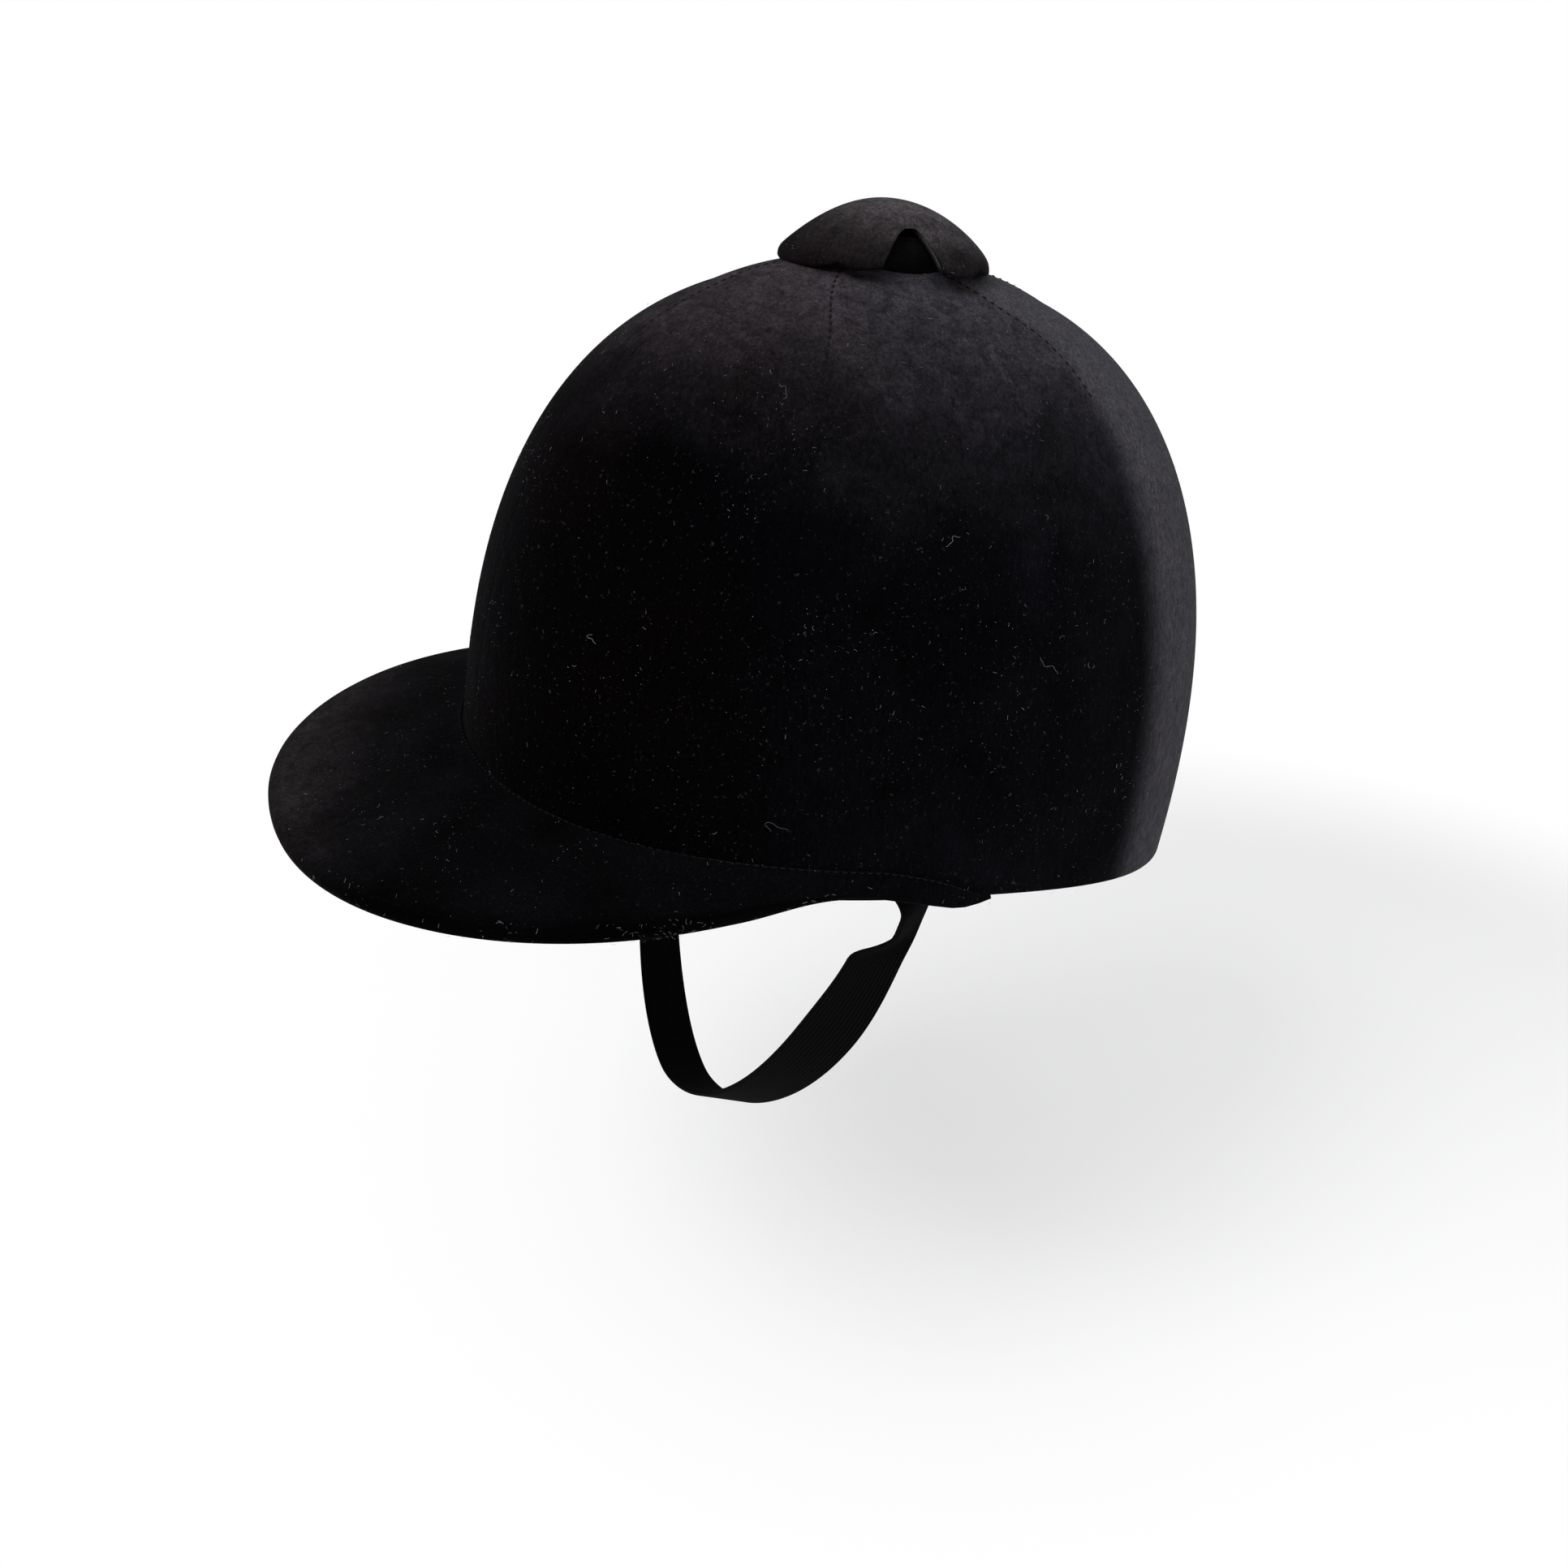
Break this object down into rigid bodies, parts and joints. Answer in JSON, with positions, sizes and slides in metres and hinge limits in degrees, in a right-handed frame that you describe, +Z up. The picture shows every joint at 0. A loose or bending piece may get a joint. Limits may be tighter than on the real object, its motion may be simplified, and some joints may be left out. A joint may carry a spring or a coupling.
{
  "type": "hunt cap",
  "caption": "Velvet hunt cap with a stiff peak, a vented top button, padded and lined inside, and a loop of elastic chin strap that swings on two rivets",
  "frame": {"origin": "centre of the head opening in the plane of the rim's front and middle", "axes": "+Z up through the crown, -Y forward to the peak, +X to the wearer's left, across the ears"},
  "size_m": [0.2028, 0.3021, 0.3052],
  "materials": {
    "velvet": "worn black velvet pile",
    "binding": "velvet bound over the edge, rubbed",
    "shell": "moulded, matt",
    "board": "pressed fibre board",
    "underside": "thin black leathercloth",
    "core": "moulded, matt",
    "brass": "turned",
    "steel": "plated",
    "foam": "open cell foam",
    "satin": "quilted satin",
    "lace": "braided cord",
    "leather": "smooth sweatband leather",
    "ribbon": "narrow ribbon",
    "elastic": "ribbed black elastic",
    "nylon": "moulded"
  },
  "bodies": {
    "cap": {"shell": "shell", "gore_front_left": "velvet", "gore_side_left": "velvet", "gore_back_left": "velvet", "gore_back_right": "velvet", "gore_side_right": "velvet", "gore_front_right": "velvet", "rim_turning": "velvet", "peak_board": "board", "peak_cover": "velvet", "peak_lining": "underside", "peak_binding": "binding", "button_core": "core", "button_cover": "velvet", "button_insert": "brass", "button_screw": "steel", "button_washer": "steel", "crown_pad": "foam", "front_pad": "foam", "back_pad": "foam", "left_pad": "foam", "right_pad": "foam", "side_lining": "satin", "tip_lining": "satin", "draw_lace": "lace", "sweatband": "leather", "sweatband_bow": "ribbon", "strap_rivets": "steel", "strap_spacers": "nylon"},
    "strap": {"chin_strap": "elastic", "strap_eyelets": "steel"}
  },
  "joints": [
    {"name": "strap_swing", "type": "hinge", "parent": "cap", "child": "strap", "pos_m": [0, -0.017, 0.017], "axis": [1, 0, 0], "range_deg": [-10, 40]}
  ]
}
